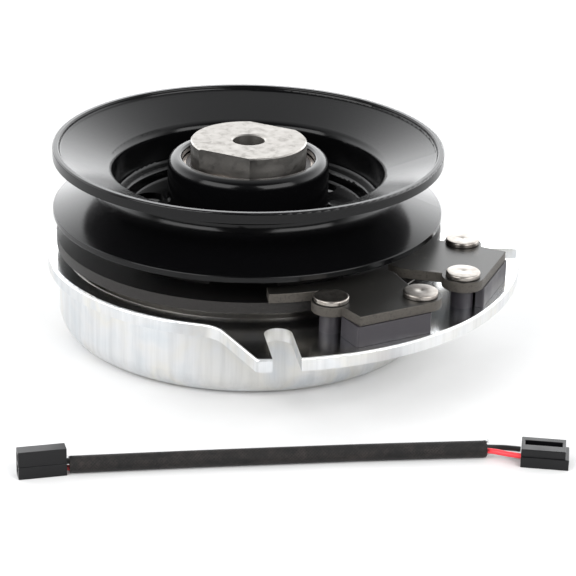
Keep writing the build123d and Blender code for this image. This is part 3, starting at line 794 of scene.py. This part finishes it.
def make_rivets(material):
    """Four headed rivets: a shallow head with a rolled rim and a centre dimple, shank and tail."""
    work = bmesh.new()
    centre_map = work.loops.layers.uv.new("from_centre")
    for low, high in solids_of("brake_rivets"):
        centre = ((low.x + high.x) / 2, (low.y + high.y) / 2)
        head_r = (high.x - low.x) / 2
        tail_r, shank_r = head_r * 0.84, head_r * 0.5
        head_low, tail_high = high.z - HEAD_HEIGHT, low.z + TAIL_HEIGHT
        outline = [
            (0.0, high.z - DIMPLE_DEPTH),
            (0.55 * MM, high.z - 0.14 * MM),
            (0.85 * MM, high.z - 0.02 * MM),
            (head_r * 0.5, high.z),
            (head_r * 0.8, high.z - 0.04 * MM),
        ]
        for step in range(RIM_STEPS):
            turn = math.radians(90 - 15 * step)
            across = head_r - RIM_ROUND + RIM_ROUND * math.cos(turn)
            outline.append((across, high.z - RIM_FALL - RIM_ROUND + RIM_ROUND * math.sin(turn)))
        outline += [
            (head_r, head_low + HEAD_CHAMFER),
            (head_r - 0.2 * MM, head_low),
            (shank_r, head_low),
            (shank_r, tail_high),
            (tail_r, tail_high),
            (tail_r, low.z + TAIL_CHAMFER),
            (tail_r - TAIL_CHAMFER, low.z),
            (0.0, low.z),
        ]
        before = set(work.faces)
        spun(work, outline, centre)
        for face in set(work.faces) - before:
            for loop in face.loops:
                loop[centre_map].uv = (loop.vert.co.x - centre[0], loop.vert.co.y - centre[1])
    bmesh.ops.remove_doubles(work, verts=work.verts, dist=SAME_PLACE)
    bmesh.ops.recalc_face_normals(work, faces=work.faces)
    piece = to_object(work, "headed_rivets", [material])
    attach(piece, "field")
    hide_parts("brake_rivets")


# --- lead


def route_curve(name, route, radius, steps):
    """A smooth open curve with the route's points as its control points."""
    data = bpy.data.curves.new(name, "CURVE")
    data.dimensions = "3D"
    data.resolution_u = steps
    data.bevel_depth = radius
    data.bevel_resolution = 6
    data.use_fill_caps = radius > 0
    spline = data.splines.new("NURBS")
    spline.points.add(len(route) - 1)
    for point, place in zip(spline.points, route):
        point.co = (*place, 1.0)
    spline.order_u = 3
    spline.use_endpoint_u = True
    return data


def line_of(route, steps):
    """Points along a route's smooth curve."""
    curve = bpy.data.objects.new("line", route_curve("line", route, 0, steps))
    mesh = bpy.data.meshes.new_from_object(curve)
    points = [v.co.copy() for v in mesh.vertices]
    bpy.data.objects.remove(curve)
    return points


def cord_piece(piece, node):
    """Puts a finished lead piece on the lead's body in place of its CAD node."""
    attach(piece, "lead")
    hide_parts(node)
    return piece


def make_wire(name, node, route, material):
    """One insulated wire from plug to plug, running through the sleeve."""
    data = route_curve(name, route, WIRE_R, 16)
    data.materials.append(material)
    piece = bpy.data.objects.new(name, data)
    bpy.context.scene.collection.objects.link(piece)
    cord_piece(piece, node)


def braid_height(around, along, strand):
    """The height of a plain braid at a place on the unrolled sleeve: 0 in its gaps, 1 on its crowns."""
    first, second = (around + along) / strand, (around - along) / strand
    over_first = (math.floor(first) + math.floor(second)) % 2 == 0
    across = (first if over_first else second) % 1
    return math.sqrt(max(0.0, 1 - (2 * across - 1) ** 2))


def woven_tube(line):
    """The sleeve's outside: a tube along the line with the relief of its strands."""
    strands, relief = 16, 0.17 * MM
    data = route_curve("woven_tube", SLEEVE_ROUTE, SLEEVE_R, SLEEVE_STEPS)
    data.bevel_resolution = 38
    data.use_fill_caps = False
    work = bmesh.new()
    work.from_mesh(bpy.data.meshes.new_from_object(bpy.data.objects.new("woven_tube", data)))
    work.verts.ensure_lookup_table()
    sides = len(work.verts) // len(line)
    crown = work.verts.layers.float.new("crown")
    along = 0.0
    for index, here in enumerate(line):
        before = line[max(index - 1, 0)]
        along += (here - before).length
        ahead = (line[min(index + 1, len(line) - 1)] - before).normalized()
        side = ahead.cross(Vector((0, 0, 1))).normalized()
        up = side.cross(ahead)
        for vert in work.verts[index * sides : (index + 1) * sides]:
            out = vert.co - here
            around = math.atan2(out.dot(up), out.dot(side)) * SLEEVE_R
            height = braid_height(around, along, 2 * math.pi * SLEEVE_R / strands)
            vert[crown] = height
            vert.co = here + out * (1 - (1 - height) * relief / SLEEVE_R)
    return work


def turn_ends_in(work, line):
    """Gives the tube its wall: each end is folded in to the bore and carried on inside."""
    bore = SLEEVE_BORE_R / SLEEVE_R
    folds = ((0.9, -0.15 * MM), (bore, 0), (bore, 6 * MM))
    for end, inside in ((line[0], line[20]), (line[-1], line[-21])):
        open_edges = [e for e in work.edges if e.is_boundary]
        rim = [e for e in open_edges if (e.verts[0].co - end).length < 2 * SLEEVE_R]
        for share, shift in folds:
            made = bmesh.ops.extrude_edge_only(work, edges=rim)["geom"]
            rim = [g for g in made if isinstance(g, bmesh.types.BMEdge)]
            inwards = (inside - end).normalized()
            for vert in {v for e in rim for v in e.verts}:
                out = vert.co - end
                out -= inwards * out.dot(inwards)
                vert.co = end + out.normalized() * SLEEVE_R * share + inwards * shift


def make_sleeve(material, loose_ends):
    """The woven sleeve, a free cord of its own that both plugs' wires run through."""
    line = line_of(SLEEVE_ROUTE, SLEEVE_STEPS)
    work = woven_tube(line)
    turn_ends_in(work, line)
    bmesh.ops.recalc_face_normals(work, faces=work.faces)
    piece = cord_piece(
        to_object(work, "braided_sleeve", [material], crease=80), "lead_sleeve"
    )


def make_loose_ends(material):
    """Cut filaments that stick out of the braid at both ends of the sleeve."""
    rng = random.Random(7)
    filaments, root_r, tip_r, sunk = 34, 0.09 * MM, 0.03 * MM, 0.6 * MM
    work = bmesh.new()
    ends = ((SLEEVE_ROUTE[0], SLEEVE_ROUTE[1]), (SLEEVE_ROUTE[-1], SLEEVE_ROUTE[-2]))
    for end, inner in ends:
        outwards = (Vector(end) - Vector(inner)).normalized()
        for _ in range(filaments):
            turn = rng.uniform(0, 2 * math.pi)
            around = Matrix.Rotation(turn, 3, outwards) @ outwards.orthogonal().normalized()
            spread = rng.uniform(0.78, 0.95)
            root = Vector(end) + around * SLEEVE_R * spread - outwards * sunk
            aim = (outwards + around * rng.uniform(-0.5, 0.35)).normalized()
            length = rng.uniform(0.8, 1.9) * MM
            made = bmesh.ops.create_cone(
                work, segments=4, radius1=root_r, radius2=tip_r, depth=length
            )
            turned = aim.to_track_quat("Z", "Y").to_matrix().to_4x4()
            bmesh.ops.transform(
                work, verts=made["verts"], matrix=Matrix.Translation(root + aim * length / 2) @ turned
            )
    lift = max(0.0, 0.1 * MM - min(v.co.z for v in work.verts))
    bmesh.ops.translate(work, verts=work.verts, vec=(0, 0, lift))
    piece = to_object(work, "loose_filaments", [material])
    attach(piece, "lead")
    return piece


def make_lead(plastic):
    """The adapter lead: two moulded plugs, two wires and the sleeve over them."""
    braid = braided_polyester()
    edge = 0.22 * MM
    left = eased_copy("lead_plug_left", "left_plug", "lead", plastic, edge)
    right = eased_copy("lead_plug_right", "right_plug", "lead", plastic, edge)
    red = pvc_insulation("red_pvc_insulation", "#E2323C")
    black = pvc_insulation("black_pvc_insulation", "#0D0D0E")
    make_wire("red_wire", "lead_wire_red", RED_ROUTE, red)
    make_wire("black_wire", "lead_wire_black", BLACK_ROUTE, black)
    make_sleeve(braid, make_loose_ends(braid))


# --- the rest of the clutch


def dress_cad_nodes(finishes):
    """Gives every CAD piece the finish of its slot in the record, but the armature plate a darker burnt
    oxide finish of its own.
    """
    slots = {part["node"]: part["material_slot"] for part in frame["record"]["subparts"]}
    burnt = sheared_dark_steel("burnt_oxide_steel", "#161515", "#2C2A29", 0.8 * MM)
    darker = {"armature_plate": burnt}
    for name, node in frame["nodes"].items():
        for place in node.material_slots:
            place.material = darker.get(name, finishes[slots[name]])


def make_finishes():
    """One finish for each slot in the record."""
    return {
        "zinc_plated_steel": zinc_plated_steel(),
        "bare_steel": turned_steel("turned_bare_steel", "#9F9C98", "#85817C", 0.9 * MM),
        "ground_steel": blotched("ground_bearing_steel", "#8B827A", "#6E6259", 4 * MM, 0.2, 1.0),
        "burnished_plate": sheared_dark_steel("sheared_oxide_steel", "#292826", "#4C4843", 1.0 * MM),
        "black_ecoat": electrocoated_spun_steel(),
        "magnet_black": moulded_plastic("coated_ferrite_magnet", "#2A272C", 0.5, 0.6 * MM),
        "rivet_steel": headed_rivet_steel(),
        "friction_material": blotched("moulded_friction_lining", "#2B2723", "#4A4038", 1.2 * MM, 0.85),
        "seal_rubber": blotched("nitrile_seal_rubber", "#1E1614", "#33221C", 3 * MM, 0.5),
        "spring_steel": blotched("blued_spring_steel", "#44474F", "#2F3440", 5 * MM, 0.35, 1.0),
        "copper_wire": wound_copper(),
        "bobbin_nylon": moulded_plastic("glass_filled_nylon", "#9A9384", 0.55, 0.8 * MM),
        "potting_resin": blotched("cast_epoxy_resin", "#17171A", "#202024", 12 * MM, 0.18),
        "socket_nylon": moulded_plastic("black_moulded_nylon", "#0A0A0C", 0.32, 0.5 * MM, 0.32),
        "tinned_brass": blotched("tinned_brass_contact", "#C9C4B6", "#B0A890", 2 * MM, 0.3, 1.0),
        "braided_sleeve": moulded_plastic("sleeve_stand_in", "#141313", 0.8, 0.5 * MM),
        "red_insulation": moulded_plastic("red_stand_in", "#C8222C", 0.35, 0.6 * MM),
        "black_insulation": moulded_plastic("black_stand_in", "#101011", 0.35, 0.6 * MM),
    }


def make_clutch(finishes):
    """The clutch's own pieces that need more than their CAD shape."""
    eased_pieces = (
        ("brake_pole_plate_rear", "pole_plate_rear", "burnished_plate", 0.4 * MM),
        ("brake_magnet_rear", "magnet_rear", "magnet_black", 0.25 * MM),
        ("brake_pole_plate_front", "pole_plate_front", "burnished_plate", 0.4 * MM),
        ("brake_magnet_front", "magnet_front", "magnet_black", 0.25 * MM),
        ("supply_socket", "moulded_supply_socket", "socket_nylon", 0.4 * MM),
    )
    for node, name, slot, edge in eased_pieces:
        eased_copy(node, name, "field", finishes[slot], edge)
    make_rivets(finishes["rivet_steel"])


make_camera()
make_studio()
finishes = make_finishes()
dress_cad_nodes(finishes)
make_lead(finishes["socket_nylon"])
make_clutch(finishes)
